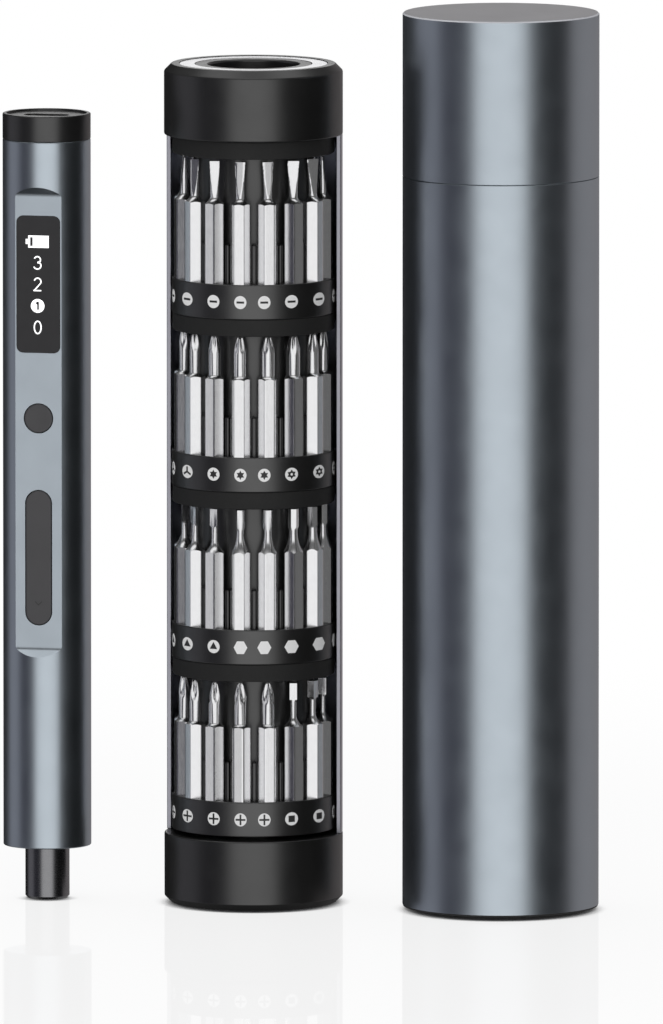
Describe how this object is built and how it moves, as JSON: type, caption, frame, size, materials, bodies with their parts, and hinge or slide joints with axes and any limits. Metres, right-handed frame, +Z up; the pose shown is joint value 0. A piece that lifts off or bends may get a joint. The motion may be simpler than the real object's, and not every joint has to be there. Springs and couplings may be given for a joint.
{
  "type": "electric precision screwdriver set",
  "caption": "Precision electric screwdriver set: a pen-shaped driver with a display and controls, a tower of bits on a turning core that docks it, and a tube case with a lift-off lid.",
  "frame": {"origin": "on the floor, under the axis of the bit tower", "axes": "+Z up, -Y towards the front, +X from the driver past the tower to the case"},
  "size_m": [0.1299, 0.0422, 0.1938],
  "materials": {
    "anodised_metal": "satin gunmetal anodised",
    "shell_metal": "satin anodised",
    "black_plastic": "satin black",
    "tier_plastic": "matt black",
    "bush_metal": "turned and bright",
    "bit_steel": "bright ground",
    "black_steel": "black oxide",
    "lens": "tinted and glossy",
    "display": "lit panel",
    "control_plastic": "matt dark grey",
    "board": "solder mask",
    "plated_steel": "nickel plated",
    "cell_wrap": "shrink wrap",
    "motor_steel": "drawn can",
    "chassis_plastic": "moulded",
    "foot_rubber": "matt"
  },
  "bodies": {
    "tower": {"tower_base": "black_plastic", "back_shell": "shell_metal", "top_collar": "black_plastic", "collar_bush": "bush_metal"},
    "bit_core": {"core_tube": "tier_plastic", "bit_rings": "tier_plastic", "cross_bits": "bit_steel", "square_bits": "bit_steel", "triangle_bits": "bit_steel", "hex_bits": "bit_steel", "tri_wing_bits": "bit_steel", "star_bits": "bit_steel", "security_star_bits": "bit_steel", "pentalobe_bits": "bit_steel", "slotted_bits": "bit_steel", "spanner_bits": "bit_steel"},
    "driver": {"barrel": "anodised_metal", "tail_cap": "black_plastic", "usb_socket": "plated_steel", "charge_board": "board", "display_lens": "lens", "display_panel": "display", "circuit_board": "board", "tact_switches": "plated_steel", "chassis": "chassis_plastic", "battery_cell": "cell_wrap", "motor": "motor_steel", "gearbox": "motor_steel"},
    "spindle": {"chuck": "black_steel", "bit_magnet": "plated_steel"},
    "button": {"power_button": "control_plastic"},
    "speed_rocker": {"rocker": "control_plastic"},
    "case": {"case_tube": "anodised_metal", "case_foot": "foot_rubber"},
    "lid": {"case_lid": "anodised_metal"}
  },
  "joints": [
    {"name": "core_spin", "type": "hinge", "parent": "tower", "child": "bit_core", "pos_m": [0, 0, 0.0908], "axis": [0, 0, 1], "continuous": true},
    {"name": "driver_lift", "type": "slide", "parent": "tower", "child": "driver", "axis": [0, 0, 1], "range_m": [0, 0.19]},
    {"name": "chuck_spin", "type": "hinge", "parent": "driver", "child": "spindle", "pos_m": [-0.0448, -0.0039, 0.0104], "axis": [0, 0, 1], "continuous": true},
    {"name": "button_press", "type": "slide", "parent": "driver", "child": "button", "axis": [0, 1, 0], "range_m": [0, 0.0003], "stiffness_N_per_m": 3000},
    {"name": "rocker_tilt", "type": "hinge", "parent": "driver", "child": "speed_rocker", "pos_m": [-0.0448, -0.0089, 0.0744], "axis": [1, 0, 0], "range_deg": [-1.2, 1.2], "stiffness_Nm_per_rad": 0.8},
    {"name": "case_lift", "type": "slide", "parent": "tower", "child": "case", "axis": [0, 0, 1], "range_m": [0, 0.19]},
    {"name": "lid_lift", "type": "slide", "parent": "case", "child": "lid", "axis": [0, 0, 1], "range_m": [0, 0.2]}
  ]
}
